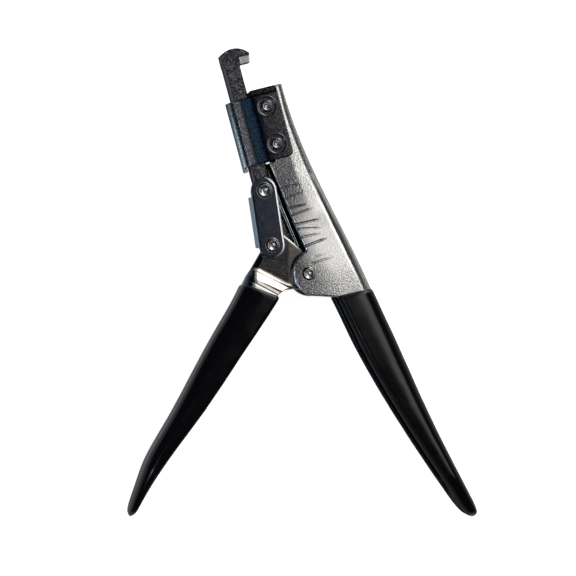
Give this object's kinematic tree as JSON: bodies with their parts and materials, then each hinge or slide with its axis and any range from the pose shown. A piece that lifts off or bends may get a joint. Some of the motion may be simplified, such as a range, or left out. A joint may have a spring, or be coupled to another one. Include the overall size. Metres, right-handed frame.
{
  "type": "hand nibbler pliers",
  "caption": "Compound plier-type hand punch: two dipped handles pull a hooked bar down through its guide strap onto a slotted die block by way of a stirrup link.",
  "frame": {"origin": "on the main pivot's axis, in the face that the tool lies on (the tail of the main pivot rivet)", "axes": "+Z along the main pivot, out of the resting face; +Y towards the hooked head; +X towards the fixed handle"},
  "size_m": [0.1448, 0.189, 0.0148],
  "materials": {
    "plated_sheet": "nickel-plated pressed steel, brighter along the folded spine",
    "blued_strap": "blued steel with a soft sheen",
    "tool_steel": "dark mottled hardened steel",
    "link_plate": "dark satin steel with bright sheared edges",
    "rivet_bright": "polished rivet head",
    "rivet_dark": "dark pressed rivet head",
    "grip_vinyl": "glossy dipped vinyl",
    "spring_wire": "plain steel"
  },
  "bodies": {
    "frame_handle": {"body_channel": "plated_sheet", "body_grip": "grip_vinyl", "die_block": "tool_steel", "guide_strap": "blued_strap", "guide_rivet_upper": "rivet_dark", "guide_rivet_lower": "rivet_dark", "main_pivot_rivet": "rivet_bright", "pivot_bush": "spring_wire", "thrust_washer_front": "spring_wire", "thrust_washer_back": "spring_wire", "return_spring": "spring_wire"},
    "lever": {"lever_channel": "plated_sheet", "lever_grip": "grip_vinyl", "link_rivet_lower": "rivet_bright", "nose_spacer": "spring_wire"},
    "punch": {"punch_bar": "tool_steel", "link_rivet_upper": "rivet_bright"},
    "link": {"link_stirrup": "link_plate"}
  },
  "joints": [
    {"name": "lever_pivot", "type": "hinge", "parent": "frame_handle", "child": "lever", "pos_m": [0, 0, 0.0074], "axis": [0, 0, 1], "range_deg": [0, 40], "stiffness_Nm_per_rad": 0.4, "springref_deg": -28.65, "deforming": ["return_spring"]},
    {"name": "punch_slide", "type": "slide", "parent": "frame_handle", "child": "punch", "axis": [0.2639, -0.9646, 0], "range_m": [0, 0.0121]},
    {"name": "link_hinge", "type": "hinge", "parent": "lever", "child": "link", "pos_m": [-0.0144, 0.0113, 0.0074], "axis": [0, 0, 1], "range_deg": [-61, 0]}
  ],
  "couplings": [
    {"joint": "punch_slide", "follows": "lever_pivot", "m_per_rad": 0.017186},
    {"joint": "link_hinge", "follows": "lever_pivot", "ratio": -1.5103}
  ]
}
